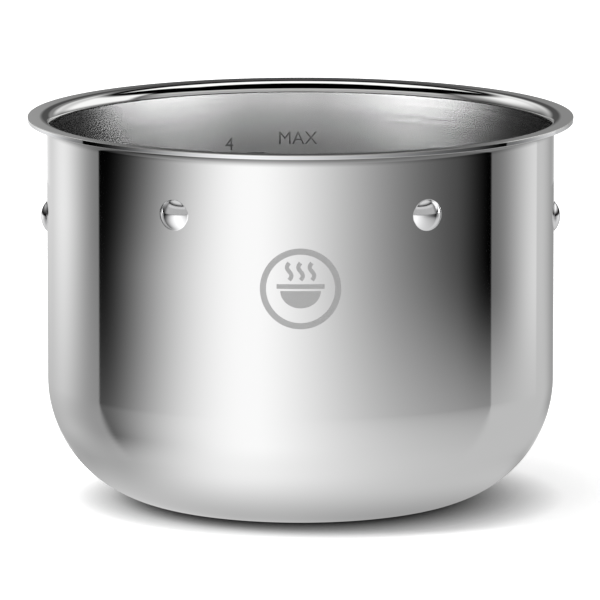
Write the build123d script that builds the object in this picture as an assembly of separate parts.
from build123d import *
import os

# Inner pot of a countertop cooker: a deep-drawn bowl of three-ply clad sheet with a flat rim,
# and a ring of dome studs welded to the outside of its wall.
# Millimetres, +Z up. The origin is the centre of the base, and the pot's front faces -Y.

# Bowl, measured on its outer skin
wall_radius = 105.0
pot_height = 160.3
corner_radius = 51.2  # round between the base and the wall
rim_overhang = 7.9  # how far the flat rim reaches past the wall
rim_bend_radius = 3.2  # inside of the bend under the rim

# Plies of the clad sheet
outer_ply_thickness = 0.4
core_ply_thickness = 0.85
inner_ply_thickness = 0.6
rim_edge_round = 0.2  # deburred corners of the rim's cut edge

# Dome studs
stud_base_radius = 6.35
stud_height = 2.6  # how far a dome stands out of the wall
stud_drop = 27.5  # from the top of the rim down to the studs at the front and the back
side_stud_extra_drop = 14.6  # the two studs at the sides sit this much lower
stud_spacing_angle = 60.7  # from the stud at a side round to the ones before and behind it

# Sizes that follow from those
sheet_thickness = outer_ply_thickness + core_ply_thickness + inner_ply_thickness
rim_radius = wall_radius + rim_overhang
rim_underside = pot_height - sheet_thickness
dome_radius = (stud_base_radius**2 + stud_height**2) / (2 * stud_height)


def surface_line(depth):
    """Half section of the surface that lies depth inside the outer skin, from axis to rim edge."""
    wall = wall_radius - depth
    rim_level = rim_underside + depth
    corners = [(0, depth), (wall, depth), (wall, rim_level), (rim_radius, rim_level)]
    return FilletPolyline(*corners, radius=[corner_radius - depth, rim_bend_radius + depth])


def ply(skin_depth, thickness, deburred_corner=None):
    """One ply of the bowl, whose outside lies skin_depth inside the outer skin."""
    outside = surface_line(skin_depth)
    inside = surface_line(skin_depth + thickness)
    at_axis = Line(outside @ 0, inside @ 0)
    at_rim_edge = Line(outside @ 1, inside @ 1)
    section = make_face([outside, inside, at_axis, at_rim_edge])
    if deburred_corner is not None:
        rim_corners = section.vertices().group_by(Axis.X)[-1].sort_by(Axis.Y)
        section = fillet(rim_corners[deburred_corner], min(rim_edge_round, thickness / 2))
    return revolve(Plane.XZ * section, Axis.Z)


def bowl():
    """The three bonded plies of the clad sheet, from the outside in."""
    lower_corner, upper_corner = 0, -1
    return {
        "outer_ply": ply(0, outer_ply_thickness, lower_corner),
        "core_ply": ply(outer_ply_thickness, core_ply_thickness),
        "inner_ply": ply(outer_ply_thickness + core_ply_thickness, inner_ply_thickness, upper_corner),
    }


def stud(angle, drop):
    """Dome on the wall, angle degrees from the front towards +X, drop below the top of the rim."""
    ball_place = (0, dome_radius - wall_radius - stud_height, pot_height - drop)
    wall = Cylinder(wall_radius, pot_height, align=(Align.CENTER, Align.CENTER, Align.MIN))
    return Rot(0, 0, angle) * (Pos(*ball_place) * Sphere(dome_radius) - wall)


def studs():
    """The ring of studs: a front and a back pair on one level, and a lower one on each side."""
    side_drop = stud_drop + side_stud_extra_drop
    ring = {}
    for side, turn in (("right", 1), ("left", -1)):
        for place, step, drop in (("front", -1, stud_drop), ("side", 0, side_drop), ("back", 1, stud_drop)):
            angle = 90 + step * stud_spacing_angle
            ring[f"stud_{place}_{side}"] = stud(turn * angle, drop)
    return ring


os.makedirs("parts", exist_ok=True)
for name, piece in {**bowl(), **studs()}.items():
    export_step(piece, f"parts/{name}.step")
